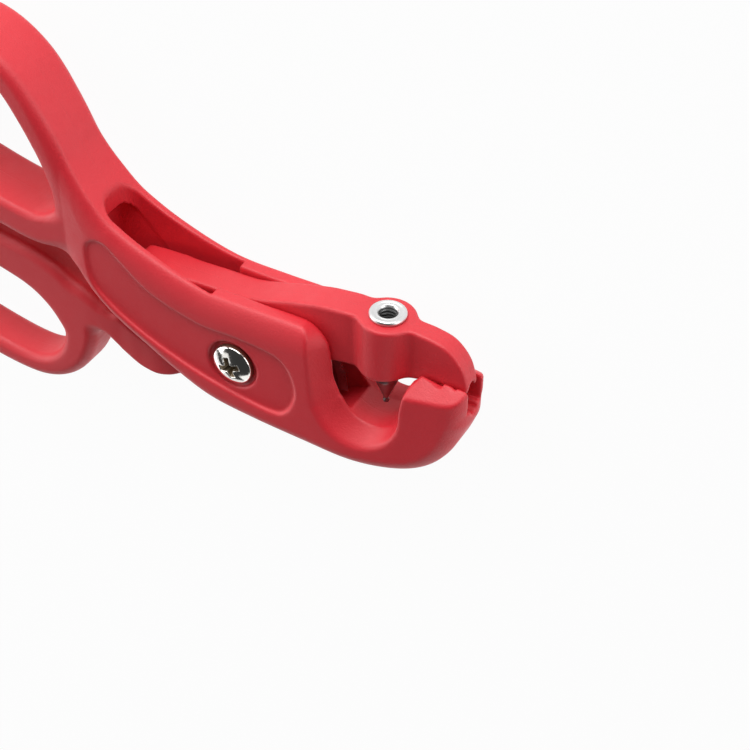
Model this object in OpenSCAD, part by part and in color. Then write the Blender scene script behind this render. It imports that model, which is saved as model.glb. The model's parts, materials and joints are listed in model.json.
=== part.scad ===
// Drip-tubing hand tool: a two-piece moulded plier with a tube throat, a screw-in punch,
// a cutter blade between the cheeks and a nose that grips barbed fittings.
// Lengths are in millimetres. The tool lies on its far side: X runs towards the nose,
// Y is up in the side view and Z is the pivot axis, towards the screw's head.

/* [Body moulding] */
// Width of the body across its cheeks
body_w = 15.5; // [14.5:0.1:18]
// Height of the cheeks' top edge above the pivot axis
cheek_top = 13.6; // [13:0.1:15]
// Depth of the belly below the pivot axis
belly = 12.6; // [11.8:0.1:14.5]
// Reach from the pivot axis to the front of the lower jaw
nose_reach = 45.2; // [44.6:0.1:49]
// Width of the lower jaw's nose
nose_w = 11.4; // [10.5:0.1:13]
// Width across the toothed rims on top of the nose
rim_w = 7.4; // [7:0.1:8.4]
// Height of the lower jaw's toothed top above the pivot axis
nose_top = 10; // [9.6:0.1:10.8]
// Rounding of the body's long edges
edge_r = 3; // [2:0.1:3.5]
// Reach of the rounding of the cheeks' top edges across the body
crest_w = 2.3; // [1.6:0.1:3]
// Reach of the same rounding down the cheeks
crest_h = 5.4; // [3:0.1:6]
// Depth of the sunk panel on each cheek
panel_depth = 0.7; // [0.3:0.1:0.9]

/* [Slot between the cheeks] */
// Width of the jaw lever's bar
lever_w = 6.4; // [5.8:0.1:7]
// Running gap on each side of the bar
side_gap = 0.2; // [0.15:0.05:0.4]
// Width of the open pocket behind the slot, at its front
pocket_w = 10.2; // [9.4:0.1:10.6]
// Width of the open pocket at its rounded rear end
pocket_rear_w = 9; // [8.2:0.1:9.2]
// Distance from the pivot axis back to the pocket's rear wall
pocket_reach = 29; // [28.8:0.1:30]
// Distance from the pivot axis back to the step where the pocket narrows
pocket_step = 4.6; // [3:0.1:7]
// Slope of the slot's floor, which falls from the throat towards the pivot axis, in degrees
floor_tilt = 23.5; // [18:0.5:27]

/* [Throat] */
// Distance of the throat's centre in front of the pivot axis
throat_x = 26.8; // [26.2:0.1:27.2]
// Height of the throat's centre above the pivot axis
throat_y = 1.8; // [1.4:0.1:2.4]
// Radius of the throat between the cheeks
throat_r = 6.35; // [6:0.05:6.6]
// Width of the throat's straight middle, between its two creases
throat_w = 8; // [7.4:0.1:9]
// Radius of the throat's flare just outside the near side
flare_r = 9.2; // [8.6:0.1:9.4]
// Rise of the throat's floor towards the far side
far_rise = 1.9; // [0:0.1:2.4]
// Reach of the cheeks' front edge in front of the pivot axis
cheek_reach = 19.6; // [19:0.1:20]
// Pitch of the saw teeth on the nose
tooth_pitch = 2.4; // [2:0.1:3]
// Depth of the saw teeth
tooth_depth = 1; // [0.5:0.1:1.2]
// Width of the channel in the nose that takes the upper jaw
channel_w = 5; // [4.9:0.1:5.6]
// Height of the channel's floor above the pivot axis
channel_y = 4.7; // [4:0.1:5]

/* [Jaw lever] */
// Height of the upper jaw's top above the pivot axis
jaw_top = 18; // [17.5:0.1:19.5]
// Height of the upper jaw's underside above the pivot axis
jaw_under = 6.8; // [6.5:0.1:7.4]
// Reach from the pivot axis to the upper jaw's tip
jaw_reach = 44.4; // [43.6:0.1:46]
// Width of the upper jaw's nose
jaw_nose_w = 4.1; // [3.6:0.1:4.3]
// Rounding of the bar's long edges
bar_r = 1; // [0.6:0.1:1.4]
// Radius of the hub that turns between the cheeks
hub_r = 8.2; // [7.6:0.1:8.6]
// Diameter of the boss that holds the punch
boss_d = 10.4; // [10:0.1:11]
// Radius of the groove that holds a fitting's barb
grip_r = 1.3; // [1:0.1:1.6]
// How far the bar's tail hangs below the pivot axis
tail_depth = 13; // [12:0.1:13.8]
// Width of the bar's neck, where it joins the finger loop
neck_w = 8.6; // [7:0.1:9]

/* [Handle loops] */
// Length of the thumb loop along its axis
thumb_l = 50; // [46:0.5:56]
// Height of the thumb loop across its axis
thumb_h = 35; // [33:0.5:38]
// Thickness of the thumb loop's bar
thumb_t = 6; // [5.4:0.1:6.6]
// Depth of the thumb loop's bar across the tool
thumb_d = 13.2; // [11:0.1:14]
// Length of the finger loop along its axis
finger_l = 60; // [56:0.5:66]
// Height of the finger loop across its axis
finger_h = 27; // [25:0.5:28]
// Thickness of the finger loop's lower bar
finger_t = 5; // [4.4:0.1:5.6]
// Depth of the finger loop's bar across the tool
finger_d = 9; // [8:0.1:11]

/* [Pivot hardware] */
// Diameter of the pivot screw's shank
screw_d = 4; // [3.5:0.1:4.5]
// Diameter of the pivot screw's head
head_d = 8; // [7:0.1:9]
// Height of the pivot screw's domed head
head_h = 2.2; // [1.8:0.1:2.8]
// Height of the head's straight rim below its dome
head_rim = 0.8; // [0.4:0.1:1.2]
// Thickness of the cheek left under the screw's head
seat_t = 2.6; // [2.2:0.1:3]
// Diameter of the recess round the screw's head
recess_d = 10.3; // [9.4:0.1:11]
// Size of the pivot nut across its flats
nut_af = 7; // [6:0.1:8]
// Thickness of the pivot nut
nut_t = 2.2; // [1.8:0.1:2.4]
// Outer diameter of the bush that turns on the screw
bush_d = 6; // [5.4:0.1:7]
// Radial clearance between the screw and the bush
run_gap = 0.05; // [0.02:0.01:0.08]
// Radial clearance round parts that are seated in plastic
seat_gap = 0.02; // [0.01:0.01:0.05]

/* [Punch] */
// Distance of the punch axis in front of the pivot axis
punch_x = 27.8; // [27.4:0.1:28.4]
// Diameter of the insert's flange
flange_d = 6.6; // [6:0.1:8]
// Thickness of the insert's flange
flange_t = 0.9; // [0.6:0.1:1.2]
// Outer diameter of the insert's barrel
barrel_d = 5.2; // [4.8:0.1:5.6]
// Diameter of the insert's hole
insert_hole_d = 3; // [2.6:0.1:3.4]
// Diameter of the punch's body
punch_d = 4.6; // [4:0.1:5]
// Length of the punch's straight body below the boss
punch_body_l = 3.8; // [3:0.1:4.4]
// Length of the punch's cone
punch_cone_l = 3.4; // [3:0.1:4]
// Diameter of the punch's tip
tip_d = 1.3; // [1:0.1:1.8]
// Length of the punch's tip
tip_l = 1.4; // [1:0.1:1.6]
// Length of the punch's shank inside the insert
shank_l = 4.6; // [3:0.1:6]

/* [Cutter blade] */
// Thickness of the blade
blade_t = 1; // [0.6:0.1:1.4]
// Distance from the pivot axis to the blade's edge
blade_reach = 20.3; // [19.8:0.1:20.6]
// How far the blade's heel hangs below the pivot axis
blade_drop = 2.8; // [2:0.1:3]
// Width of the bevel ground on each side of the edge
bevel_w = 1.6; // [0.8:0.1:2.2]
// Diameter of the pins that hold the blade
pin_d = 2; // [1.6:0.1:2.6]

/* [Hidden] */
$fn = 64;
past = 1;
red = [0.72, 0.09, 0.13];
dark_red = [0.66, 0.07, 0.11];
steel = [0.75, 0.76, 0.78];
dark_steel = [0.42, 0.40, 0.42];

// Widths that the two mouldings share
half_body = body_w / 2;
half_nose = nose_w / 2;
half_bar = lever_w / 2;
half_jaw = jaw_nose_w / 2;
half_slot = half_bar + side_gap;
half_pocket = pocket_w / 2;
half_rear = pocket_rear_w / 2;
panel_z = half_body - panel_depth;

// Levels of the pivot hardware along the pivot axis
head_z = half_slot + seat_t;
nut_z = panel_z - nut_t;

// Point at t between b and c on a smooth curve through a, b, c and d
function on_curve(a, b, c, d, t) =
    0.5 * (2 * b + (c - a) * t + (2 * a - 5 * b + 4 * c - d) * t * t
        + (3 * b - a - 3 * c + d) * t * t * t);
// Points along a closed curve through the given points, with the given steps between two of them
function closed_curve(p, steps) = [
    for (i = [0 : len(p) - 1], k = [0 : steps - 1])
        on_curve(p[(i + len(p) - 1) % len(p)], p[i], p[(i + 1) % len(p)], p[(i + 2) % len(p)], k / steps)
];
// The same for an open curve, which ends on its last point
function open_curve(p, steps) = concat([
    for (i = [0 : len(p) - 2], k = [0 : steps - 1])
        on_curve(p[max(i - 1, 0)], p[i], p[i + 1], p[min(i + 2, len(p) - 1)], k / steps)
], [p[len(p) - 1]]);

function unit(v) = v / norm(v);
function turned(v, angle) = [v.x * cos(angle) - v.y * sin(angle), v.x * sin(angle) + v.y * cos(angle)];
function flat(list) = [for (part = list) for (item = part) item];
function round_power(value, power) = sign(value) * pow(abs(value), power);

// Faces between rings of points; a closed row of rings joins its last ring to its first
function ring_faces(rings, count, closed) = flat([
    for (i = [0 : rings - (closed ? 1 : 2)], k = [0 : count - 1])
        let (a = i * count + k,
            b = i * count + (k + 1) % count,
            c = ((i + 1) % rings) * count + (k + 1) % count,
            d = ((i + 1) % rings) * count + k)
        [[a, b, c], [a, c, d]]
]);
// Solid through a row of rings, closed by a flat face at each end
module loft(rings) {
    count = len(rings[0]);
    last = (len(rings) - 1) * count;
    polyhedron(flat(rings), concat(ring_faces(len(rings), count, false),
        [[for (k = [count - 1 : -1 : 0]) k]], [[for (k = [0 : count - 1]) last + k]]));
}

// Cross-section of a moulding at one station: [x, bottom, top, half width, radius of the lower edges,
// then the reach across and the reach down of the upper edges' rounding]
corner_steps = 4;
function section(s) =
    let (most = min(s[3] - 0.1, (s[2] - s[1]) / 2 - 0.1),
        low = min(s[4], most),
        across = min(s[5], most),
        down = min(s[6], most),
        centres = [[s[2] - down, s[3] - across], [s[2] - down, across - s[3]], [s[1] + low, low - s[3]],
            [s[1] + low, s[3] - low]],
        radii = [[down, across], [down, across], [low, low], [low, low]])
    [for (corner = [0 : 3], k = [0 : corner_steps])
        let (angle = 90 - 90 * corner - 90 * k / corner_steps)
        [s[0], centres[corner].x + radii[corner].x * cos(angle),
            centres[corner].y + radii[corner].y * sin(angle)]];

// Ring of a handle loop, swept round points [x, y, half thickness] at the given half depth
loop_sides = 16;
loop_square = 0.8;
function loop_ring(path, i, half_depth) =
    let (n = len(path),
        ahead = path[(i + 1) % n],
        behind = path[(i + n - 1) % n],
        along = unit([ahead.x - behind.x, ahead.y - behind.y]),
        side = [along.y, -along.x])
    [for (k = [0 : loop_sides - 1])
        let (angle = 360 * (k + 0.5) / loop_sides,
            out = path[i].z * round_power(cos(angle), loop_square))
        [path[i].x + side.x * out, path[i].y + side.y * out,
            half_depth * round_power(sin(angle), loop_square)]];
function loop_rings(path, half_depth) = [for (i = [0 : len(path) - 1]) loop_ring(path, i, half_depth)];
module swept_loop(path, half_depth) {
    rings = loop_rings(path, half_depth);
    polyhedron(flat(rings), ring_faces(len(rings), loop_sides, true));
}

// Centre line of a loop from shape points [along, across, thickness] in hundredths of its sizes
function loop_path(anchor, tilt, length, height, thick, shape) = closed_curve([
    for (p = shape)
        let (place = anchor + turned([p.x * length, p.y * height] / 100, tilt))
        [place.x, place.y, p.z * thick / 200]
], 4);

// Thumb loop on the body: it starts at the rear of the cheeks and leans up and back
thumb_anchor = [-34.5, 20];
thumb_tilt = 154;
thumb_shape = [[2, -5, 120], [14, -23, 100], [28, -38, 95], [43, -49, 95], [60, -50, 100], [80, -38, 100],
    [95, -13, 100], [99, 16, 100], [89, 39, 108], [70, 47, 120], [47, 42.3, 127], [26, 34.8, 115],
    [8, 26, 120], [-1, 10, 130]];
thumb_path = loop_path(thumb_anchor, thumb_tilt, thumb_l, thumb_h, thumb_t, thumb_shape);

// Finger loop on the lever: thick along the top, slender along the bottom
finger_anchor = [-35.8, -11];
finger_tilt = 164;
finger_shape = [[2.5, 6.5, 140], [6, -11.5, 180], [13.5, -26, 204], [23.5, -31.5, 192], [37, -30, 172],
    [56, -27, 156], [74, -21.5, 144], [90, -9.5, 132], [98.5, 14, 124], [95.5, 40, 120],
    [83, 58.5, 112], [63, 65, 108], [42, 66.2, 102], [22, 61.6, 97], [11, 51.8, 102], [4.2, 32, 116]];
finger_path = loop_path(finger_anchor, finger_tilt, finger_l, finger_h, finger_t, finger_shape);

// Stations of the body from its rear end to the nose: [x, bottom, top, half width, reach of the rounding
// down from its top]
rim_r = 2.4;
body_stations = [
    [-35.5, 9.5, 26, half_body - 1.1, crest_h - 1],
    [-31, 4.1, 23.9, half_body - 0.3, crest_h],
    [-26, 0, 21, half_body, crest_h],
    [-20, -3.6, cheek_top + 4.4, half_body, crest_h],
    [-12, -8, cheek_top + 1.6, half_body, crest_h],
    [-5, 1.8 - belly, cheek_top + 0.2, half_body, crest_h],
    [4, 0.6 - belly, cheek_top + 0.1, half_body, crest_h],
    [14, -belly, cheek_top + 0.2, half_body, crest_h],
    [24, -belly - 0.4, cheek_top - 0.8, half_body - 0.1, crest_h - 1],
    [nose_reach - 13, 0.8 - belly, nose_top, (half_body + half_nose) / 2 + 0.3, rim_r],
    [nose_reach - 7, 3.4 - belly, nose_top, half_nose + 0.6, rim_r],
    [nose_reach - 3, 7.8 - belly, nose_top, half_nose, rim_r],
    [nose_reach - 0.6, nose_top - 9.2, nose_top - 0.5, half_nose - 1, rim_r],
    [nose_reach, nose_top - 7.6, nose_top - 1.6, half_nose - 2, rim_r]
];
body_rings = [for (s = open_curve(body_stations, 3))
    section([s[0], s[1], s[2], min(s[3], half_body), edge_r, crest_w, s[4]])];

// Stations of the lever's bar from the finger loop's neck to the upper jaw's tip
tail_x = pocket_reach - 3.6;
half_neck = neck_w / 2;
half_tail = half_bar + 0.2;
lever_stations = [
    [-38.5, -9.4, 0.2, half_neck],
    [-34, -8.4, 1.5, half_neck],
    [-31, -8.2, 0.6, half_neck],
    [-28.6, -9.2, 0, (half_neck + half_tail) / 2],
    [-tail_x - 1.1, -10.4, 2.4, half_tail],
    [-tail_x, -11.1, 8.8, half_tail],
    [-tail_x + 1.3, -11.9, 11, half_tail],
    [-22.5, 0.4 - tail_depth, 11.6, half_tail],
    [-19.5, -tail_depth, 11.9, half_tail - 0.1],
    [-16.5, 0.7 - tail_depth, 12.1, half_bar + 0.1],
    [-13.5, 2.3 - tail_depth, 12.2, half_bar],
    [-10, -8.7, 12.4, half_bar],
    [-6.5, -7.2, 12.6, half_bar],
    [-3, -7.4, 12.7, half_bar],
    [0, -7.6, 12.9, half_bar],
    [3, -7, 13.6, half_bar],
    [6, -5.4, 14.5, half_bar],
    [9, -2, jaw_top - 2.5, half_bar],
    [12, jaw_under - 5.2, jaw_top - 1.7, half_bar],
    [15, jaw_under - 2.2, jaw_top - 0.9, half_bar],
    [18, jaw_under - 0.9, jaw_top - 0.4, half_bar],
    [22, jaw_under - 0.2, jaw_top, half_bar],
    [punch_x, jaw_under, jaw_top, (half_bar + half_jaw) / 2],
    [33, jaw_under + 0.6, jaw_top - 0.1, half_jaw],
    [35, jaw_under + 1.1, jaw_top - 0.2, half_jaw],
    [37, jaw_under + 1.7, jaw_top - 0.4, half_jaw],
    [jaw_reach - 4.8, jaw_under + 1.9, jaw_top - 1, half_jaw],
    [jaw_reach - 2.8, jaw_under + 1.9, jaw_top - 2.4, half_jaw],
    [jaw_reach - 1.2, jaw_under + 1.8, jaw_top - 4.5, half_jaw],
    [jaw_reach - 0.4, jaw_under + 1.8, jaw_top - 6.7, half_jaw],
    [jaw_reach, jaw_under + 2.1, jaw_top - 8.2, half_jaw - 0.1]
];
lever_rings = [for (s = open_curve(lever_stations, 2))
    section([s[0], s[1], s[2], s[3], bar_r, bar_r, bar_r])];

// The tool is placed with the middle of its outline at the origin, lying on the far cheek
outline_points = concat(flat(loop_rings(thumb_path, thumb_d / 2)),
    flat(loop_rings(finger_path, finger_d / 2)));
rear_x = min([for (p = outline_points) p.x]);
top_y = max([for (p = outline_points) p.y]);
low_y = min([for (p = outline_points) p.y]);
pivot = [-(nose_reach + rear_x) / 2, -(top_y + low_y) / 2, half_body];

// Point on an arc about the pivot axis
function arc(r, angle) = [r * cos(angle), r * sin(angle)];

// The slot: an open pocket at the rear and a narrow front part over a floor that falls from the throat
pocket_corner = 3.2;
ridge = [throat_x, throat_y] + arc(throat_r, 230);
module slot_cut() {
    tall = 80;
    run = ridge.x + pocket_step + past;
    rotate([-90, 0, 0]) translate([0, 0, -tall / 2]) linear_extrude(tall) union() {
        polygon([[pocket_corner - pocket_reach, -half_rear], [-pocket_step, -half_pocket],
            [-pocket_step, half_pocket], [pocket_corner - pocket_reach, half_rear]]);
        translate([-pocket_reach, pocket_corner - half_rear])
            square([pocket_corner + past, pocket_rear_w - 2 * pocket_corner]);
        for (side = [-1, 1])
            translate([pocket_corner - pocket_reach, side * (half_rear - pocket_corner)])
                circle(pocket_corner);
    }
    translate([ridge.x, ridge.y, -half_slot]) linear_extrude(2 * half_slot)
        polygon([[0.3, 0], [0.3, tall], [-run, tall], [-run, -run * tan(floor_tilt)], [0, 0]]);
}

// The throat: a round trough with a crease near each side; it flares towards the near side,
// its floor rises towards the far side, and the mouth above it is open
throat_sides = 40;
function throat_ring(x, y, r, z) =
    [for (k = [0 : throat_sides - 1])
        let (angle = -360 * k / throat_sides)
        [x + r * cos(angle), y + r * sin(angle), z]];
function at_level(points, z) = [for (p = points) [p.x, p.y, z]];
// Front edge of a cheek, upwards from the throat, as shifts from the cheek's reach and from its top:
// first beside the slot, then outside the near side, where it is scooped back
flare_shift = [-1.3, -2];
inner_shifts = [[0, -12.8], [-0.5, -10.6], [-0.85, -7.2], [-1.1, -5], [-1.3, -3.4], [-2.5, -1.8],
    [-4, -0.6], [-6.2, 0.4], [-7.8, 1.4]];
outer_shifts = [[-3.35, -12.2], [-3.4, -10], [-3.65, -7.2], [-3.75, -5], [-3.85, -3.4], [-3.95, -1.8],
    [-4.1, -0.6], [-4.2, 0.4], [-4.3, 1.4]];
function front_edge(start, shifts) = concat([start], [for (s = shifts) [cheek_reach, cheek_top] + s]);
module throat_cut() {
    wide = half_body + past;
    crease = throat_w / 2;
    far_end = throat_x + 3;
    top = cheek_top + 1.4;
    loft([throat_ring(throat_x, throat_y + far_rise, throat_r, -wide),
        throat_ring(throat_x, throat_y, throat_r, -crease),
        throat_ring(throat_x, throat_y, throat_r, crease),
        throat_ring(throat_x + flare_shift.x, throat_y + flare_shift.y, flare_r, wide)]);
    inner = front_edge([throat_x, throat_y] + arc(throat_r, 202), inner_shifts);
    outer = front_edge([throat_x - flare_r, throat_y] + flare_shift, outer_shifts);
    loft([for (level = [[inner, crease], [outer, wide]])
        at_level(concat([[far_end, 7], [far_end, level[0][0].y]], level[0], [[far_end, top]]), level[1])]);
    mouth = concat(inner, [[throat_x + 9.5, top], [throat_x + 9.1, nose_top - 0.4], [throat_x + 7.6, 7.8],
        [throat_x + throat_r + 0.35, throat_y + 2.4], [throat_x + throat_r - 0.05, throat_y]]);
    translate([0, 0, -wide]) linear_extrude(2 * wide) polygon(mouth);
}

// The nose: a channel for the upper jaw, bevelled sides and saw teeth across both rims
bevel_tilt = 8;
module nose_cut() {
    teeth = 2;
    reach = 14;
    translate([throat_x + throat_r - 2.4, channel_y, -channel_w / 2]) cube([reach + 6, 20, channel_w]);
    translate([nose_reach - reach, channel_y, 0]) rotate([0, 90, 0]) cylinder(r = grip_r, h = reach + past);
    for (k = [0 : teeth - 1])
        translate([nose_reach - 2.8 - k * tooth_pitch, nose_top, -half_body])
            linear_extrude(body_w)
                polygon([[-tooth_pitch, -0.2], [-0.6, -tooth_depth], [0, 0], [0, 4], [-tooth_pitch, 4]]);
    for (side = [0, 1])
        mirror([0, 0, side]) translate([nose_reach, nose_top, rim_w / 2]) rotate([0, 0, bevel_tilt])
            rotate([0, -90, 0]) linear_extrude(reach + 4) polygon([[0, 0], [6, -6.4], [6, 3], [-0.6, 3]]);
}

// Sunk teardrop panel on a cheek, wide round the screw and pointed towards the handle
panel_points = [[-30.6, 13.4], [-29, 6.6], [-20.4, 0.4], [-7.3, -4.6], [7, -7.2], [11.6, -5.6], [13.3, 0],
    [10.4, 5.8], [2.1, 7.1], [-6.6, 7.1], [-16.4, 9.8], [-22.3, 14], [-26.5, 17.2], [-29.6, 16.6]];
module panel_cut() {
    linear_extrude(panel_depth + past) polygon(closed_curve(panel_points, 4));
}

// Main moulding: cheeks, lower jaw and thumb loop
module main_body() {
    color(red) translate(pivot) difference() {
        union() {
            loft(body_rings);
            swept_loop(thumb_path, thumb_d / 2);
        }
        slot_cut();
        throat_cut();
        nose_cut();
        translate([0, 0, panel_z]) panel_cut();
        mirror([0, 0, 1]) translate([0, 0, panel_z]) panel_cut();
        translate([0, 0, head_z]) cylinder(d = recess_d, h = half_body);
        cylinder(d = screw_d + 0.3, h = 2 * half_body, center = true);
        translate([0, 0, -nut_z - nut_t - past])
            cylinder(d = (nut_af + 2 * seat_gap) / cos(30), h = nut_t + past, $fn = 6);
    }
}

// Moving moulding: upper jaw, punch boss, hub, bar and finger loop
module jaw_lever() {
    bore_h = lever_w + 2 * past;
    color(dark_red) translate(pivot) difference() {
        union() {
            loft(lever_rings);
            swept_loop(finger_path, finger_d / 2);
            cylinder(r = hub_r, h = lever_w, center = true);
            translate([punch_x, jaw_under, 0]) rotate([-90, 0, 0])
                cylinder(d = boss_d, h = jaw_top - jaw_under);
        }
        cylinder(d = bush_d + 2 * seat_gap, h = bore_h, center = true);
        translate([punch_x, jaw_under - past, 0]) rotate([-90, 0, 0])
            cylinder(d = barrel_d + 2 * seat_gap, h = jaw_top - jaw_under + 2 * past);
        translate([jaw_reach - 6, jaw_under + 2.8, 0]) rotate([0, 90, 0])
            cylinder(r = grip_r, h = 6 + past);
        translate([0, 0, -blade_t / 2 - seat_gap])
            linear_extrude(blade_t + 2 * seat_gap) polygon(blade_slit);
        for (p = pin_places)
            translate(p) cylinder(d = pin_d + 2 * seat_gap, h = bore_h, center = true);
    }
}

// Pivot screw with a domed head and a cross recess
module pivot_screw() {
    dome_h = head_h - head_rim;
    dome_r = (head_d * head_d / 4 + dome_h * dome_h) / (2 * dome_h);
    cross_t = head_d * 0.13;
    cross_l = head_d * 0.5;
    cross_h = head_h * 0.75;
    color(steel) translate(pivot) difference() {
        union() {
            translate([0, 0, -nut_z - nut_t])
                cylinder(d = screw_d, h = head_z + nut_z + nut_t + head_h / 4);
            intersection() {
                translate([0, 0, head_z]) cylinder(d = head_d, h = head_h);
                translate([0, 0, head_z + head_h - dome_r]) sphere(dome_r);
            }
        }
        for (angle = [20, 110])
            rotate(angle) translate([-cross_l / 2, -cross_t / 2, head_z + head_h - cross_h])
                cube([cross_l, cross_t, head_h]);
    }
}

// Thin hexagon nut in its pocket on the far cheek
module pivot_nut() {
    color(steel) translate(pivot) translate([0, 0, -nut_z - nut_t]) difference() {
        cylinder(d = nut_af / cos(30), h = nut_t, $fn = 6);
        translate([0, 0, -past]) cylinder(d = screw_d + 2 * seat_gap, h = nut_t + 2 * past);
    }
}

// Plain bush pressed into the lever, which turns on the screw
module pivot_bush() {
    color(steel) translate(pivot) difference() {
        cylinder(d = bush_d, h = lever_w, center = true);
        cylinder(d = screw_d + 2 * run_gap, h = lever_w + 2 * past, center = true);
    }
}

// Blade outline: a plate whose front is an arc about the pivot axis
blade_top = 11;
blade_back = 7.6;
edge_angles = [28, 16, 4, -asin(blade_drop / blade_reach)];
edge_rake = 0.085;
function edge_point(reach, angle) = arc(reach - edge_rake * max(0, angle + 5), angle);
function blade_outline(reach) = concat([for (angle = edge_angles) edge_point(reach, angle)],
    [[13, -blade_drop], [blade_back, 2], [blade_back, blade_top]]);
blade_slit = [[blade_back - seat_gap, blade_top + seat_gap], [blade_back - seat_gap, -hub_r],
    [blade_reach + seat_gap, -hub_r], [blade_reach + seat_gap, 2],
    [edge_point(blade_reach, 28).x + 1, blade_top + seat_gap]];
pin_places = [[10.2, 7.4, 0], [13.5, 6.4, 0]];
module cutter_blade() {
    full = blade_outline(blade_reach);
    ground = blade_outline(blade_reach - bevel_w);
    levels = [[ground, -blade_t / 2], [full, 0], [ground, blade_t / 2]];
    color(dark_steel) translate(pivot) difference() {
        loft([for (level = levels)
            [for (k = [len(full) - 1 : -1 : 0]) [level[0][k].x, level[0][k].y, level[1]]]]);
        for (p = pin_places)
            translate(p) cylinder(d = pin_d + 2 * seat_gap, h = blade_t + 2 * past, center = true);
    }
}

// Two pins through the lever that hold the blade
module blade_pins() {
    color(steel) translate(pivot)
        for (p = pin_places)
            translate(p) cylinder(d = pin_d, h = lever_w, center = true);
}

// Flanged insert in the boss, open from end to end
module punch_insert() {
    barrel = barrel_d / 2;
    hole = insert_hole_d / 2;
    sink = 0.4;
    length = jaw_top - jaw_under;
    color(steel) translate(pivot) translate([punch_x, jaw_under, 0]) rotate([-90, 0, 0]) rotate_extrude()
        polygon([[hole, 0], [barrel, 0], [barrel, length], [flange_d / 2, length],
            [flange_d / 2, length + flange_t * 0.6], [flange_d / 2 - flange_t * 0.4, length + flange_t],
            [hole + sink, length + flange_t], [hole, length + flange_t - sink]]);
}

// Conical punch, its shank up in the insert
module punch_tip() {
    shank = insert_hole_d / 2 - seat_gap;
    body = punch_d / 2;
    tip = tip_d / 2;
    cone_y = -punch_body_l;
    neck_y = cone_y - punch_cone_l;
    color(dark_steel) translate(pivot) translate([punch_x, jaw_under, 0]) rotate([-90, 0, 0])
        rotate_extrude() polygon([[0, shank_l], [shank, shank_l], [shank, 0], [body, 0],
            [body, cone_y], [tip, neck_y], [tip, neck_y - tip_l * 0.7], [tip * 0.6, neck_y - tip_l],
            [0, neck_y - tip_l]]);
}

main_body();
jaw_lever();
pivot_screw();
pivot_nut();
pivot_bush();
cutter_blade();
blade_pins();
punch_insert();
punch_tip();
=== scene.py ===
import json
import math

import bpy
import numpy as np
from mathutils import Matrix, Vector


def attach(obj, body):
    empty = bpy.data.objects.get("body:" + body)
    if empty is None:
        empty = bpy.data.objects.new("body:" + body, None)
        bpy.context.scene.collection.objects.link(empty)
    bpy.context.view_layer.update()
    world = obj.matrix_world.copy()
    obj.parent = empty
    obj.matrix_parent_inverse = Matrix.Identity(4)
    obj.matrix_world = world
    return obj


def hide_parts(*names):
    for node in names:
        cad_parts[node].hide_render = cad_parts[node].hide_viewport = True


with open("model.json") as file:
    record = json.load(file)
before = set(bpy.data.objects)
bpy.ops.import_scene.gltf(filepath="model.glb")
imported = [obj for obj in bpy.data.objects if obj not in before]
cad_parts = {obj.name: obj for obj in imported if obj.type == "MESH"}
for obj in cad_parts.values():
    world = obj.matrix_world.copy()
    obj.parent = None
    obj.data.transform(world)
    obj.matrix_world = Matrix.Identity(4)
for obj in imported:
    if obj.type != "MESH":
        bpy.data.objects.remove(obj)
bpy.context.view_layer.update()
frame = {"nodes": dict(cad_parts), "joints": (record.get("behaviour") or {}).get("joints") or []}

# Shapes are in millimetres from the hinge: x to the nose, y up in the side view, z to the screw head.
MM = 0.001
HINGE = np.array(frame["joints"][0]["pos_m"]) / MM
# Distance between the sample points that the mouldings and the screw are meshed on
STEP = 0.3
SCREW_STEP = 0.1
# Domed screw head: radius of the dome and height of its centre
DOME_R = 7.3
DOME_Z = 1.1
# Axis of the punch ahead of the hinge, and height of the boss's underside on it
PUNCH_X = 27.8
PUNCH_Y = 6.8


# Curves

def curve_point(a, b, c, d, t):
    """Point of a smooth curve through four points, between the second and the third."""
    return 0.5 * (2 * b + (c - a) * t + (2 * a - 5 * b + 4 * c - d) * t * t
                  + (3 * b - a - 3 * c + d) * t ** 3)


def closed_curve(points, steps):
    """Smooth closed curve through the points, with so many steps from one to the next."""
    p = np.array(points, float)
    n = len(p)
    return np.array([curve_point(p[i - 1], p[i], p[(i + 1) % n], p[(i + 2) % n], k / steps)
                     for i in range(n) for k in range(steps)])


def open_curve(points, steps):
    """Smooth curve from the first point to the last."""
    p = np.array(points, float)
    n = len(p)
    made = [curve_point(p[max(i - 1, 0)], p[i], p[i + 1], p[min(i + 2, n - 1)], k / steps)
            for i in range(n - 1) for k in range(steps)]
    return np.array(made + [p[-1]])


def loop_path(anchor, tilt, length, height, thick, shape):
    """Closed path of a handle loop [x, y, half thickness], from a shape in per cent of the three sizes."""
    c, s = math.cos(math.radians(tilt)), math.sin(math.radians(tilt))
    points = []
    for along, across, t in shape:
        u, v = along * length / 100, across * height / 100
        points.append((anchor[0] + u * c - v * s, anchor[1] + u * s + v * c, t * thick / 200))
    return closed_curve(points, 6)


# Distance fields: negative inside, in millimetres

def smooth_min(a, b, k):
    """Union of two fields with a fillet about k wide."""
    h = np.maximum(k - np.abs(a - b), 0) / k
    return np.minimum(a, b) - h * h * k / 4


def smooth_max(a, b, k):
    """What two fields share, with an edge rounded about k wide."""
    return -smooth_min(-a, -b, k)


def cut(shape, tool, k):
    """Shape less the tool, with a rounded rim."""
    return smooth_max(shape, -tool, k)


def polygon_field(points, x, y):
    """Signed distance from a closed outline."""
    best = np.full(x.shape, 1e9, np.float32)
    inside = np.zeros(x.shape, bool)
    for (ax, ay), (bx, by) in zip(points, np.roll(points, -1, axis=0)):
        ex, ey = bx - ax, by - ay
        wx, wy = x - ax, y - ay
        t = np.clip((wx * ex + wy * ey) / (ex * ex + ey * ey + 1e-12), 0, 1)
        best = np.minimum(best, (wx - ex * t) ** 2 + (wy - ey * t) ** 2)
        if abs(ey) > 1e-9:
            inside ^= ((ay > y) != (by > y)) & (x < ex * (y - ay) / ey + ax)
    return np.where(inside, -1, 1) * np.sqrt(best)


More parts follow.
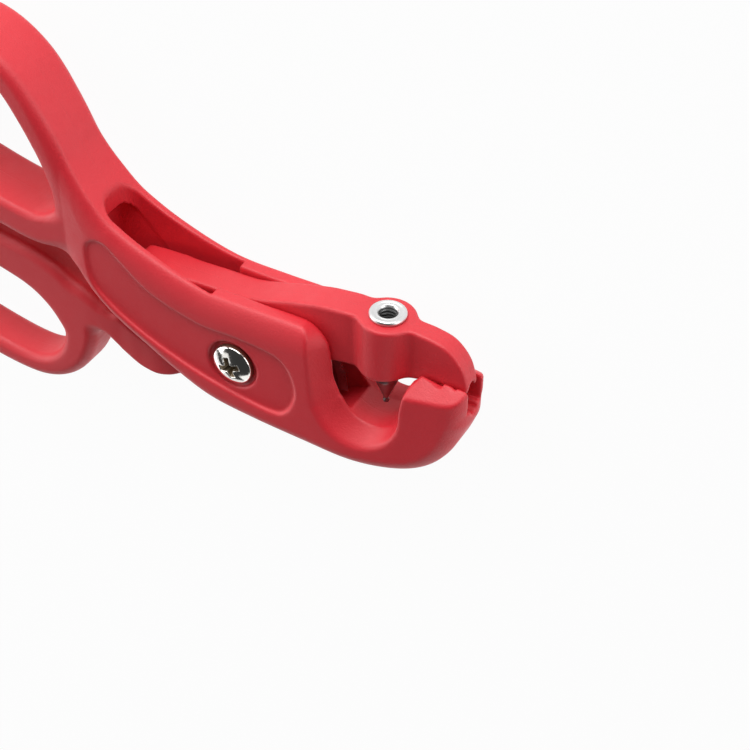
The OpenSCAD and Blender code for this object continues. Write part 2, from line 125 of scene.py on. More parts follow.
def largest(*fields):
    """What all the fields share, with sharp edges."""
    total = fields[0]
    for field in fields[1:]:
        total = np.maximum(total, field)
    return total


def rounded_field(side, plan, down, across):
    """Slab with edges rounded by an ellipse, from the fields of its outline and of its thickness."""
    a, b = np.maximum(1 + side / down, 0), np.maximum(1 + plan / across, 0)
    corner = np.hypot(a, b)
    slope = np.hypot(a / down, b / across) / np.maximum(corner, 1e-6)
    return np.where(corner > 0, (corner - 1) / np.maximum(slope, 1e-6), np.maximum(side, plan))


def loop_plan(path, outer, inner, x, y):
    """Outline of a bar along a closed path [x, y, half thickness], and the radius of its edges."""
    best = np.full(x.shape, 1e9, np.float32)
    thick = np.ones(x.shape, np.float32)
    for (ax, ay, at), (bx, by, bt) in zip(path, np.roll(path, -1, axis=0)):
        ex, ey = bx - ax, by - ay
        wx, wy = x - ax, y - ay
        t = np.clip((wx * ex + wy * ey) / (ex * ex + ey * ey), 0, 1)
        d = (wx - ex * t) ** 2 + (wy - ey * t) ** 2
        near = d < best
        best = np.where(near, d, best)
        thick = np.where(near, at + (bt - at) * t, thick)
    return np.sqrt(best) - thick, np.where(polygon_field(path[:, :2], x, y) < 0, inner, outer)


class Grid:
    """A box of sample points, with x and y as flat arrays and z along the third axis."""

    def __init__(self, low, high, step):
        self.low, self.step = np.array(low, float), step
        axes = [np.arange(a, b + step, step, dtype=np.float32) for a, b in zip(low, high)]
        self.x, self.y = np.meshgrid(axes[0], axes[1], indexing="ij")
        self.z = axes[2][None, None, :]
        self.x3, self.y3 = self.x[:, :, None], self.y[:, :, None]


def sample(field, grid, points):
    """Values of the field at any points of the grid, by linear blending."""
    g = (points - grid.low) / grid.step
    i = np.clip(np.floor(g).astype(int), 0, np.array(field.shape) - 2)
    f = g - i
    total = 0
    for corner in np.ndindex(2, 2, 2):
        weight = np.prod(np.where(np.array(corner), f, 1 - f), axis=1)
        total = total + weight * field[i[:, 0] + corner[0], i[:, 1] + corner[1], i[:, 2] + corner[2]]
    return total


def cell_points(field, cells):
    """One point in each cell, in the middle of the places where the surface crosses the cell's edges."""
    corners = list(np.ndindex(2, 2, 2))
    values = np.stack([field[tuple((cells + c).T)] for c in corners], axis=1)
    total, hits = np.zeros((len(cells), 3)), np.zeros((len(cells), 1))
    for i, a in enumerate(corners):
        for j, b in enumerate(corners):
            if i < j and sum(p != q for p, q in zip(a, b)) == 1:
                cross = (values[:, i] < 0) != (values[:, j] < 0)
                gap = np.where(cross, values[:, i] - values[:, j], 1)
                t = np.where(cross, values[:, i] / gap, 0)[:, None]
                total += cross[:, None] * (np.array(a) + (np.array(b) - np.array(a)) * t)
                hits += cross[:, None]
    return cells + total / hits


def cell_quads(inside, number):
    """Quads that join the numbered cells round each grid edge that the surface crosses."""
    step = np.eye(3, dtype=int)
    quads = []
    for axis in range(3):
        u, v = (axis + 1) % 3, (axis + 2) % 3
        low = [slice(1, -1)] * 3
        low[axis] = slice(0, -1)
        high = list(low)
        high[axis] = slice(1, None)
        first, second = inside[tuple(low)], inside[tuple(high)]
        edges = np.argwhere(first != second)
        flip = first[tuple(edges.T)]
        start = edges + 1
        start[:, axis] -= 1
        ring = [start, start - step[u], start - step[u] - step[v], start - step[v]]
        quad = np.stack([number[tuple(r.T)] for r in ring], axis=1)
        quad[~flip] = quad[~flip][:, ::-1]
        quads.append(quad)
    return np.concatenate(quads)


def pulled(points, field, grid):
    """Points moved onto the surface, in two short steps along the field's slope."""
    small = grid.step * 0.5
    for _ in range(2):
        value = sample(field, grid, points)
        rises = [sample(field, grid, points + small * e) - sample(field, grid, points - small * e)
                 for e in np.eye(3)]
        slope = np.stack(rises, axis=1) / (2 * small)
        size = np.maximum((slope ** 2).sum(axis=1), 0.25)
        move = -(value / size)[:, None] * slope
        far = np.linalg.norm(move, axis=1, keepdims=True)
        points = points + move * np.minimum(1, 0.6 * grid.step / np.maximum(far, 1e-9))
    return points


def skin(field, grid):
    """Points and quads of the surface where the field is zero."""
    inside = field < 0
    shape = np.array(field.shape) - 1
    count = np.zeros(shape, np.int8)
    for a, b, c in np.ndindex(2, 2, 2):
        count += inside[a:a + shape[0], b:b + shape[1], c:c + shape[2]]
    cells = np.argwhere((count > 0) & (count < 8))
    number = np.full(shape, -1)
    number[tuple(cells.T)] = np.arange(len(cells))
    points = grid.low + cell_points(field, cells) * grid.step
    return pulled(points, field, grid), cell_quads(inside, number)


def piece(name, points, quads, body, nodes, mat):
    """Object from points in millimetres, which rides on a body and takes the place of CAD nodes."""
    mesh = bpy.data.meshes.new(name)
    points = (np.asarray(points) + HINGE) * MM
    mesh.vertices.add(len(points))
    mesh.vertices.foreach_set("co", points.astype(np.float32).ravel())
    mesh.loops.add(quads.size)
    mesh.loops.foreach_set("vertex_index", quads.astype(np.int32).ravel())
    mesh.polygons.add(len(quads))
    mesh.polygons.foreach_set("loop_start", np.arange(0, quads.size, 4, dtype=np.int32))
    mesh.polygons.foreach_set("use_smooth", np.ones(len(quads), bool))
    mesh.update(calc_edges=True)
    mesh.validate()
    mesh.materials.append(mat)
    obj = bpy.data.objects.new(name, mesh)
    bpy.context.scene.collection.objects.link(obj)
    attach(obj, body)
    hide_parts(*nodes)


def turned(profile, turns=96, gap=0.12):
    """Closed outline [radius, height] turned about the y axis, with rings at most a gap apart."""
    p = np.array(profile, float)
    ends = np.roll(p, -1, axis=0)
    counts = np.maximum(np.ceil(np.linalg.norm(ends - p, axis=1) / gap), 1).astype(int)
    p = np.concatenate([a + (b - a) * np.arange(c)[:, None] / c for a, b, c in zip(p, ends, counts)])
    n = len(p)
    angle = np.arange(turns) * 2 * math.pi / turns
    points = np.stack([p[None, :, 0] * np.cos(angle)[:, None],
                       np.repeat(p[None, :, 1], turns, axis=0),
                       p[None, :, 0] * np.sin(angle)[:, None]], axis=2).reshape(-1, 3)
    i, k = np.meshgrid(np.arange(turns), np.arange(n), indexing="ij")
    j, m = (i + 1) % turns, (k + 1) % n
    quads = np.stack([i * n + k, i * n + m, j * n + m, j * n + k], axis=2).reshape(-1, 4)
    return points, quads


# Materials

def new_material(name):
    """Material with one principled shader, and the place of a point on the object."""
    mat = bpy.data.materials.new(name)
    mat.use_nodes = True
    tree = mat.node_tree
    tree.nodes.clear()
    out = tree.nodes.new("ShaderNodeOutputMaterial")
    shader = tree.nodes.new("ShaderNodeBsdfPrincipled")
    tree.links.new(shader.outputs[0], out.inputs["Surface"])
    where = tree.nodes.new("ShaderNodeTexCoord")
    return mat, tree, shader, where.outputs["Object"]


def noise(tree, where, scale, detail=2.0, rough=0.5):
    """Cloudy value from 0 to 1, with a scale per metre."""
    node = tree.nodes.new("ShaderNodeTexNoise")
    node.inputs["Scale"].default_value = scale
    node.inputs["Detail"].default_value = detail
    node.inputs["Roughness"].default_value = rough
    tree.links.new(where, node.inputs["Vector"])
    return node.outputs["Fac"]


def spread(tree, value, low, high, start=0.3, end=0.7):
    """Value between start and end, stretched to run from low to high."""
    node = tree.nodes.new("ShaderNodeMapRange")
    node.inputs["From Min"].default_value = start
    node.inputs["From Max"].default_value = end
    node.inputs["To Min"].default_value = low
    node.inputs["To Max"].default_value = high
    tree.links.new(value, node.inputs["Value"])
    return node.outputs["Result"]


def ramp(tree, value, stops):
    """Colour for a value, from stops [place, colour]."""
    node = tree.nodes.new("ShaderNodeValToRGB")
    band = node.color_ramp
    band.elements[0].position, band.elements[0].color = stops[0][0], (*stops[0][1], 1)
    band.elements[1].position, band.elements[1].color = stops[-1][0], (*stops[-1][1], 1)
    for place, colour in stops[1:-1]:
        band.elements.new(place).color = (*colour, 1)
    tree.links.new(value, node.inputs["Fac"])
    return node.outputs["Color"]


def bump(tree, height, strength, distance, normal=None):
    """Normal tilted by a height, on top of another normal where there is one."""
    node = tree.nodes.new("ShaderNodeBump")
    node.inputs["Strength"].default_value = strength
    node.inputs["Distance"].default_value = distance
    tree.links.new(height, node.inputs["Height"])
    if normal is not None:
        tree.links.new(normal, node.inputs["Normal"])
    return node.outputs["Normal"]


def reach(tree, where, centre, axes):
    """Distance in metres of a point from a centre in mm from the hinge, counted along the chosen axes."""
    keep = tree.nodes.new("ShaderNodeVectorMath")
    keep.operation = "MULTIPLY"
    keep.inputs[1].default_value = axes
    tree.links.new(where, keep.inputs[0])
    far = tree.nodes.new("ShaderNodeVectorMath")
    far.operation = "DISTANCE"
    far.inputs[1].default_value = (np.array(centre) + HINGE) * np.array(axes) * MM
    tree.links.new(keep.outputs["Vector"], far.inputs[0])
    return far.outputs["Value"]


def mixed(tree, kind, factor, first, second):
    """Blend from the first output to the second as the factor rises."""
    node = tree.nodes.new("ShaderNodeMix")
    node.data_type = kind
    ends = [s for s in node.inputs if s.enabled]
    for value, socket in zip((factor, first, second), ends):
        tree.links.new(value, socket)
    return next(s for s in node.outputs if s.enabled)


def red_plastic(name, base, dark):
    """Satin moulded plastic with a parting line half way through, a slight swell and a fine grain."""
    mat, tree, shader, where = new_material(name)
    cloud = noise(tree, where, scale=45, detail=3)
    tree.links.new(ramp(tree, cloud, [(0.3, dark), (0.7, base)]), shader.inputs["Base Color"])
    patch = noise(tree, where, scale=380, detail=4)
    tree.links.new(spread(tree, patch, 0.50, 0.60), shader.inputs["Roughness"])
    middle = reach(tree, where, (0, 0, 0), (0, 0, 1))
    seam = bump(tree, spread(tree, middle, 0, 1, 0.05 * MM, 0.16 * MM), 0.5, 0.06 * MM)
    swell = bump(tree, noise(tree, where, scale=420), 0.12, 0.1 * MM, seam)
    grain = bump(tree, noise(tree, where, scale=3000, rough=0.6), 0.8, 0.09 * MM, swell)
    tree.links.new(grain, shader.inputs["Normal"])
    shader.inputs["Specular IOR Level"].default_value = 0.55
    shader.inputs["Coat Weight"].default_value = 0.4
    shader.inputs["Coat Roughness"].default_value = 0.5
    shader.inputs["Coat IOR"].default_value = 1.6
    return mat


def bright_metal(name, light, dark, low, high, scratch=0.02, hollow=None):
    """Metal with slight clouding. A hollow (centre, axes, radius, colour) has its colour painted darker,
    in the given colour, as painted shade, and has a rougher finish of its own.
    """
    mat, tree, shader, where = new_material(name)
    cloud = noise(tree, where, scale=260, detail=4)
    finish = ramp(tree, cloud, [(0.3, dark), (0.7, light)])
    polish = spread(tree, noise(tree, where, scale=900, detail=3), low, high)
    if hollow is not None:
        centre, axes, radius, hollow_shade_colour = hollow
        fade = 0.06
        away = reach(tree, where, centre, axes)
        outside = spread(tree, away, 0, 1, radius * MM, (radius + fade) * MM)
        # painted shade: inside the hollow the colour is darkened to stand in for the shade that falls
        # there; only its rougher finish is the metal's own
        painted_hollow_shade = ramp(tree, cloud, [(0.3, [c * 0.6 for c in hollow_shade_colour]), (0.7, hollow_shade_colour)])
        finish = mixed(tree, "RGBA", outside, painted_hollow_shade, finish)
        polish = mixed(tree, "FLOAT", outside, spread(tree, cloud, 0.4, 0.55), polish)
    tree.links.new(finish, shader.inputs["Base Color"])
    tree.links.new(polish, shader.inputs["Roughness"])
    grain = noise(tree, where, scale=2600)
    tree.links.new(bump(tree, grain, scratch, 0.04 * MM), shader.inputs["Normal"])
    shader.inputs["Metallic"].default_value = 1.0
    return mat


# Plastics: light and dark colour

body_red = red_plastic("body_red", (0.72, 0.015, 0.030), (0.68, 0.013, 0.026))
lever_red = red_plastic("lever_red", (0.71, 0.015, 0.029), (0.67, 0.013, 0.025))

# Metals: light and dark colour, range of roughness, strength of the grain, and a hollow whose colour is
# painted darker as painted shade (the screw's cross recess, the insert's bore)

chrome = bright_metal("screw_chrome", (0.90, 0.88, 0.84), (0.78, 0.76, 0.72), 0.08, 0.16,
                      hollow=((0, 0, DOME_Z), (1, 1, 1), DOME_R - 0.16, (0.42, 0.34, 0.24)))
nickel = bright_metal("insert_nickel", (0.80, 0.80, 0.80), (0.70, 0.70, 0.70), 0.34, 0.42, 0.004,
                      hollow=((PUNCH_X, 0, 0), (1, 0, 1), 1.64, (0.30, 0.30, 0.30)))
plain = bright_metal("plain_steel", (0.60, 0.59, 0.58), (0.45, 0.45, 0.45), 0.25, 0.40)
punch_steel = bright_metal("punch_steel", (0.30, 0.24, 0.24), (0.22, 0.17, 0.17), 0.34, 0.44, 0.005)
blade_steel = bright_metal("blade_steel", (0.50, 0.50, 0.51), (0.40, 0.40, 0.41), 0.26, 0.36, 0.01)


# Main moulding

# Half the width over the cheeks, radius of their lower edges and width of the rounding of the upper ones
HALF = 7.75
EDGE = 3.0
CREST = 2.3
# Thumb loop: radii of its outer and inner edges, and how the cheeks' edges take over along x
THUMB_EDGES = (2.4, 1.5)
THUMB_END = ([-41, -32], [0, 1])
THUMB = loop_path((-34.5, 20), tilt=154, length=50, height=35, thick=6, shape=[
    (2, -5, 120), (14, -23, 100), (28, -38, 95), (43, -49, 95), (60, -50, 100), (80, -38, 100),
    (95, -13, 100), (99, 16, 100), (89, 39, 108), (70, 47, 120), (47, 42.3, 127), (26, 34.8, 115),
    (8, 26, 120), (-1, 10, 130)])
# x, bottom, top, half width, and how far the rounding of the top edges reaches down
BODY = open_curve([
    (-35.5, 9.5, 26, 6.65, 4.4), (-31, 4.1, 23.9, 7.45, 5.4), (-26, 0, 21, 7.75, 5.4),
    (-20, -3.6, 18, 7.75, 5.4), (-12, -8, 15.2, 7.75, 5.4), (-5, -10.8, 13.8, 7.75, 5.4),
    (4, -12, 13.7, 7.75, 5.4), (14, -12.6, 13.8, 7.75, 5.4), (24, -13, 12.8, 7.65, 4.4),
    (32.2, -11.8, 10, 7.03, 2.4), (38.2, -9.2, 10.4, 6.3, 2.4), (42.2, -4.8, 10.5, 5.7, 2.4),
    (44.6, 0.8, 9.9, 4.7, 2.4), (45.2, 2.4, 8.6, 3.7, 2.4)], 8)
# Sunk panel in each cheek, and the half width left between the two panels
PANEL_HALF = 7.05
PANEL = closed_curve([
    (-30.6, 13.4), (-29, 6.6), (-20.4, 0.4), (-7.3, -4.6), (7, -7.2), (11.6, -5.6), (13.3, 0),
    (10.4, 5.8), (2.1, 7.1), (-6.6, 7.1), (-16.4, 9.8), (-22.3, 14), (-26.5, 17.2), (-29.6, 16.6)], 6)
# Front edge of the near cheek beside the slot and at its outer side, and the hook's edge: [y, x]
INNER = open_curve([
    (-3, 22.5), (-1.2, 21.3), (0.8, 20.1), (3.1, 19.2), (6.6, 18.8), (8.8, 18.5), (10.3, 18.1),
    (11.8, 17.1), (13, 15.6), (14, 13.6), (15, 11.8)], 6)
OUTER = open_curve([
    (-2, 17.4), (0.4, 16.85), (3, 16.5), (6.4, 16.2), (9.5, 15.85), (11.8, 15.4), (13.4, 15),
    (15, 14.4)], 6)
HOOK = open_curve([
    (-2.4, 32.4), (-1, 32.7), (0.5, 33.0), (1.8, 33.15), (4.2, 33.5), (7.8, 34.4), (9.6, 35.7), (12, 36.2),
    (15, 36.3)], 6)
# How far the hook's edge stands forward at the near side: [y], [x]
HOOK_FLARE = ([-1, 2, 8], [0.3, 0.6, 0.3])
# Pocket behind the lever: centre of its round end, its front, corner radius, and half widths along x
POCKET_REAR = -25.8
POCKET_FRONT = -4.6
POCKET_CORNER = 3.2
NEAR_WALL = ([POCKET_REAR, -14, POCKET_FRONT], [4.5, 4.85, 5.6])
FAR_WALL = ([POCKET_REAR, POCKET_FRONT], [4.5, 5.1])
# Ledge in the pocket: a point on it, fall to the front, greatest height and step of the wall below it
LEDGE_X = -28.0
LEDGE_Y = 18.3
LEDGE_FALL = 1.1
LEDGE_TOP = 19.2
LEDGE_STEP = 0.15
# Hollow below the ledge: how far it runs to the rear, its lower end, and the height over which it begins
HOLLOW = 5.0
HOLLOW_LOW = 8.0
LEDGE_BLUR = 0.3
# Slot for the lever: half width, ends, and a point and the slope of its floor
SLOT_HALF = 3.4
SLOT_REAR = -5.6
SLOT_FRONT = 23.0
FLOOR_X = 22.72
FLOOR_Y = -3.06
FLOOR_SLOPE = math.tan(math.radians(23.5))
# Throat: centre and radius of its trough, what the near flare adds to them, and the rise at the far side
THROAT_X = 26.8
THROAT_Y = 1.8
THROAT_R = 6.35
FLARE_BACK = 1.6
FLARE_DROP = 1.8
FLARE_R = 1.75
FAR_RISE = 1.9
# Depth from the middle at which the flare and the far rise begin, and the depths over which they grow
FLARE_FROM = 4.0
FLARE_DEPTH = 3.75
RISE_DEPTH = 4.75
# Mouth over the trough: how far it reaches below the trough's centre, and its rear end
MOUTH_LAP = 2.0
MOUTH_REAR = 8.0
# Nose: channel for a fitting with a round groove in its floor, bevelled top, and saw teeth along x
CHANNEL_HALF = 2.5
CHANNEL_Y = 4.7
CHANNEL_REAR = 30.75
GROOVE_R = 1.3
GROOVE_REAR = 31.2
BEVEL_ANGLE = math.radians(36.5)
BEVEL_AT = (2.8, 9.95)
BEVEL_REAR = 30.0
SAW = ([33, 36, 40.0, 40.6, 42.5, 43.1, 45.5], [99, 9.95, 9.2, 10.5, 9.55, 10.25, 9.5])
# Screw seat in the near cheek, bore, and nut pocket in the far cheek
SEAT_R = 5.0
SEAT_Z = 6.1
BORE_R = 2.15
NUT_HALF = 3.52
NUT_Z = -4.85
# Extra rounding of the throat's rim by height, and the share of it by depth
RIM_EXTRA = ([0.6, 6.2], [0.4, 0.05])
RIM_NEAR = ([4.5, 6.5], [0, 1])
# Widths of roundings: at the thumb loop's root inside and outside the loop, and at the cuts' rims and feet
ROOT_ROUND = ([-2, 2], [2.0, 6.0])
SLOT_ROUND = 0.6
MOUTH_ROUND = 0.9
THROAT_ROUND = 0.4
NOSE_ROUND = 0.4
BEVEL_ROUND = 0.45
TOOTH_ROUND = 0.12
PANEL_ROUND = 0.5
SEAT_FOOT = 0.7
SEAT_ROUND = 0.5


def shell_field(g):
    """Cheeks, lower jaw and thumb loop, before anything is cut out of them."""
    depth = np.abs(g.z)
    outline = np.concatenate([BODY[:, [0, 1]], BODY[::-1, [0, 2]]])
    low, high, width, crest = (np.interp(g.x, BODY[:, 0], BODY[:, k]) for k in (1, 2, 3, 4))
    # 0 in the lower two fifths, 1 in the upper two
    upper = np.clip((g.y - low) / np.maximum(high - low, 1) * 5 - 2, 0, 1)
    ring, ring_edge = loop_plan(THUMB, *THUMB_EDGES, g.x, g.y)
    fillet = np.interp(polygon_field(THUMB[:, :2], g.x, g.y), *ROOT_ROUND)
    side = smooth_min(polygon_field(outline, g.x, g.y), ring, fillet)
    ahead = np.interp(g.x, *THUMB_END)
    down = ring_edge + (EDGE + (crest - EDGE) * upper - ring_edge) * ahead
    across = ring_edge + (EDGE + (CREST - EDGE) * upper - ring_edge) * ahead
    plan = depth - np.minimum(width, HALF)[:, :, None]
    return rounded_field(side[:, :, None], plan, down[:, :, None], across[:, :, None])


def slot_field(g):
    """Open pocket at the rear, with a ledge below its rim, and the narrow slot over a sloping floor."""
    x, y, depth = g.x3, g.y3, np.abs(g.z)
    near_half, far_half = (np.interp(g.x, *wall)[:, :, None] for wall in (NEAR_WALL, FAR_WALL))
    half = np.where(g.z > 0, near_half, far_half)
    ledge = np.minimum(LEDGE_Y - LEDGE_FALL * (x - LEDGE_X), LEDGE_TOP)
    below = np.clip((ledge - y) / LEDGE_BLUR, 0, 1)
    hollow = below * np.clip((y - HOLLOW_LOW) / LEDGE_BLUR, 0, 1)
    back = POCKET_REAR - HOLLOW * hollow - x
    wide = depth - half + POCKET_CORNER - LEDGE_STEP * below
    round_end = np.hypot(np.maximum(back, 0), np.maximum(wide, 0)) - POCKET_CORNER
    pocket = np.maximum(round_end + np.minimum(np.maximum(back, wide), 0), x - POCKET_FRONT)
    floor = FLOOR_Y + FLOOR_SLOPE * (x - FLOOR_X)
    above = (floor - y) / math.hypot(1, FLOOR_SLOPE)
    return np.minimum(pocket, largest(depth - SLOT_HALF, above, x - SLOT_FRONT, SLOT_REAR - x))


def throat_field(g):
    """Round trough that flares to the near side and rises to the far side, with the mouth above it."""
    x, y, z = g.x3, g.y3, g.z
    # the flare runs on a little past the near face
    near = np.clip((z - FLARE_FROM) / FLARE_DEPTH, 0, 1.3)
    far = np.clip((-z - FLARE_FROM) / RISE_DEPTH, 0, 1)
    centre_y = THROAT_Y - FLARE_DROP * near + FAR_RISE * far
    trough = np.hypot(x - THROAT_X + FLARE_BACK * near, y - centre_y) - THROAT_R - FLARE_R * near
    inner, outer, hook = (np.interp(g.y, *edge.T)[:, :, None] for edge in (INNER, OUTER, HOOK))
    hook = hook + np.interp(g.y, *HOOK_FLARE)[:, :, None] * near
    rear = np.maximum(inner + (outer - inner) * near, MOUTH_REAR)
    mouth = largest(rear - x, x - hook, centre_y - MOUTH_LAP - y)
    return smooth_min(trough, mouth, MOUTH_ROUND)


def main_field(g):
    """Whole main moulding."""
    x, y, z = g.x3, g.y3, g.z
    depth = np.abs(z)
    shape = cut(shell_field(g), slot_field(g), SLOT_ROUND)
    rim = THROAT_ROUND + np.interp(y, *RIM_EXTRA) * np.interp(z, *RIM_NEAR)
    shape = cut(shape, throat_field(g), rim)

    # nose: channel, bevelled sides, saw teeth
    channel = largest(depth - CHANNEL_HALF, CHANNEL_Y - y, CHANNEL_REAR - x)
    groove = np.maximum(np.hypot(depth, y - CHANNEL_Y) - GROOVE_R, GROOVE_REAR - x)
    shape = cut(shape, np.minimum(channel, groove), NOSE_ROUND)
    outward, upward = depth - BEVEL_AT[0], y - BEVEL_AT[1]
    bevel = math.sin(BEVEL_ANGLE) * outward + math.cos(BEVEL_ANGLE) * upward
    # the second term keeps the bevel off everything behind the nose
    shape = smooth_max(shape, bevel - 10 * np.maximum(BEVEL_REAR - x, 0), BEVEL_ROUND)
    saw = np.interp(g.x, *SAW)[:, :, None]
    shape = smooth_max(shape, 0.8 * (y - saw), TOOTH_ROUND)

    # sunk panels, screw seat and nut pocket
    panel = polygon_field(PANEL, g.x, g.y)[:, :, None]
    shape = cut(shape, smooth_max(panel, PANEL_HALF - depth, PANEL_ROUND), PANEL_ROUND)
    axis = np.hypot(x, y)
    shape = cut(shape, smooth_max(axis - SEAT_R, SEAT_Z - z, SEAT_FOOT), SEAT_ROUND)
    shape = np.maximum(shape, BORE_R - axis)
    flats = [np.abs(x * math.cos(a) + y * math.sin(a)) for a in np.radians([30, 90, 150])]
    return np.maximum(shape, -np.maximum(largest(*flats) - NUT_HALF, z - NUT_Z))


grid = Grid((-89.5, -14.2, -8.4), (46.4, 54.5, 8.4), STEP)
points, quads = skin(main_field(grid), grid)
piece("body_moulding", points, quads, "body", ["main_body"], body_red)


# Lever moulding

# Finger loop: radii of its outer and inner edges, and how the bar's edges take over along x
FINGER_EDGES = (2.2, 1.8)
FINGER_END = ([-32, -27], [0, 1])
FINGER = loop_path((-35.8, -11), tilt=164, length=60, height=27, thick=5, shape=[
    (2.5, 6.5, 140), (6, -11.5, 180), (13.5, -26, 204), (23.5, -31.5, 192), (37, -30, 172),
    (56, -27, 156), (74, -21.5, 144), (90, -9.5, 132), (98.5, 14, 124), (95.5, 40, 120),
    (83, 58.5, 112), (63, 65, 108), (42, 66.2, 102), (22, 61.6, 97), (11, 51.8, 102), (4.2, 32, 116)])
# x, bottom, top and half width
LEVER = open_curve([
    (-40.8, -7.6, 0.0, 4.5), (-38.5, -8.2, 0.8, 4.5), (-36, -8.4, 1.0, 4.5), (-34, -8.4, 0.3, 4.5),
    (-31, -8.2, -1.3, 4.4), (-28.6, -9.2, -2.4, 4.3), (-27, -10.2, -1.2, 4.2), (-25.5, -11.1, 8.2, 4.2),
    (-24.1, -11.9, 11, 4.2), (-22.5, -12.6, 11.6, 4.15),
    (-19.5, -13, 11.9, 4.1), (-16.5, -12.3, 12.1, 3.8), (-13.5, -10.7, 12.2, 3.3), (-10, -8.7, 12.4, 3.2),
    (-6.5, -7.2, 12.6, 3.2), (-3, -7.4, 12.7, 3.2), (0, -7.6, 12.9, 3.2), (3, -7, 13.6, 3.2),
    (6, -5.4, 14.5, 3.2), (9, -2, 15.5, 3.2), (12, 1.6, 16.3, 3.2), (15, 4.6, 17.1, 3.2),
    (18, 5.9, 17.6, 3.2), (22, 6.6, 18, 3.2), (PUNCH_X, PUNCH_Y, 18, 2.63), (33, 7.4, 17.9, 2.05),
    (35, 7.9, 17.8, 2.05), (37, 8.5, 17.6, 2.05), (39.6, 8.7, 17, 2.05), (41.6, 8.7, 15.6, 2.05),
    (43.2, 8.6, 13.5, 2.05), (44, 8.6, 11.3, 2.05), (44.4, 8.9, 9.8, 1.95)], 6)
# Radius of the lever's edges, of the boss round the punch and its bore, and of the hub and its bore
LEVER_EDGE = 0.6
BOSS_R = 5.2
BOSS_BORE_R = 2.62
HUB_R = 8.2
HUB_BORE_R = 3.02
# Half width of the part in the slot along x, the line above which it begins, the height over which it
# narrows there, and what the shoulder below adds to the half width
SLOT_SIDE = ([-28, -14, -10, 15, 20], [3.38, 3.25, 3.7, 3.7, 9])
SHOULDER = ([-35, -33, -31, -28.8, -24, -18.9, -14], [60, 4.0, -1.2, -2.8, -5.2, -7.6, -10.2])
SHOULDER_RISE = 1.4
SHOULDER_STEP = 1.5
# Slit for the blade and holes for its pins
SLIT_HALF = 0.52
BLADE_SLIT = np.array([(7.58, 11.02), (7.58, -8.2), (20.32, -8.2), (20.32, 2), (16.46, 11.02)])
PIN_R = 1.02
PINS = ((10.2, 7.4), (13.5, 6.4))
# Groove for a fitting under the jaw's tip
TIP_GROOVE_R = 1.2
TIP_GROOVE_Y = 8.8
TIP_GROOVE_REAR = 38.4
# Widths of roundings: at the finger loop's root, hub, boss, its bore, the part in the slot, and the groove
FINGER_ROUND = 2.5
HUB_ROUND = 0.5
BOSS_ROUND = 1.2
BOSS_BORE_ROUND = 0.2
SLOT_SIDE_ROUND = 0.3
TIP_GROOVE_ROUND = 0.4


def lever_field(g):
    """Whole lever moulding."""
    x, y, z = g.x3, g.y3, g.z
    depth = np.abs(z)
    outline = np.concatenate([LEVER[:, [0, 1]], LEVER[::-1, [0, 2]]])
    ring, ring_edge = loop_plan(FINGER, *FINGER_EDGES, g.x, g.y)
    side = smooth_min(polygon_field(outline, g.x, g.y), ring, FINGER_ROUND)[:, :, None]
    hub = np.hypot(x, y)
    side = smooth_min(side, hub - HUB_R, HUB_ROUND)
    half = np.interp(g.x, LEVER[:, 0], LEVER[:, 3])[:, :, None]
    boss = np.hypot(x - PUNCH_X, z)
    plan = smooth_min(depth - half, boss - BOSS_R, BOSS_ROUND)
    edge = ring_edge + (LEVER_EDGE - ring_edge) * np.interp(g.x, *FINGER_END)
    shape = rounded_field(side, plan, edge[:, :, None], edge[:, :, None])

    # the part in the slot is narrower than the shoulder below the cheeks
    risen = np.clip((g.y - np.interp(g.x, *SHOULDER)) / SHOULDER_RISE, 0, 1)
    side_limit = np.interp(g.x, *SLOT_SIDE) + SHOULDER_STEP * (1 - risen) ** 2
    shape = smooth_max(shape, depth - side_limit[:, :, None], SLOT_SIDE_ROUND)

    # bores, slit, pin holes and groove
    shape = np.maximum(shape, HUB_BORE_R - hub)
    shape = cut(shape, boss - BOSS_BORE_R, BOSS_BORE_ROUND)
    slit = polygon_field(BLADE_SLIT, g.x, g.y)[:, :, None]
    shape = np.maximum(shape, -np.maximum(slit, depth - SLIT_HALF))
    for pin_x, pin_y in PINS:
        shape = np.maximum(shape, PIN_R - np.hypot(x - pin_x, y - pin_y))
    groove = np.maximum(np.hypot(depth, y - TIP_GROOVE_Y) - TIP_GROOVE_R, TIP_GROOVE_REAR - x)
    return cut(shape, groove, TIP_GROOVE_ROUND)


grid = Grid((-100.5, -30.5, -6.4), (45.6, 19.2, 6.4), STEP)
points, quads = skin(lever_field(grid), grid)
piece("lever_moulding", points, quads, "lever", ["jaw_lever"], lever_red)


# Pivot screw

# Head: radius, underside, a height above its dome, and edge radius
HEAD_R = 4.05
HEAD_LOW = 6.0
HEAD_HIGH = 8.8
HEAD_EDGE = 0.22
# Cross recess: turn, half length and half width of a wing, their taper per mm, and its floor
RECESS_TURN = math.radians(20)
WING_LONG = 2.3
WING_WIDE = 0.58
LONG_TAPER = 0.6
WIDE_TAPER = 0.08
RECESS_Z = 6.6
# Shank: radius and ends
SHANK_R = 2.0
SHANK_LOW = -7.05
SHANK_HIGH = 6.2
# Widths of roundings: at the dome's edge, between the wings and at the recess's rim
DOME_ROUND = 0.3
WING_ROUND = 0.4
RECESS_ROUND = 0.12


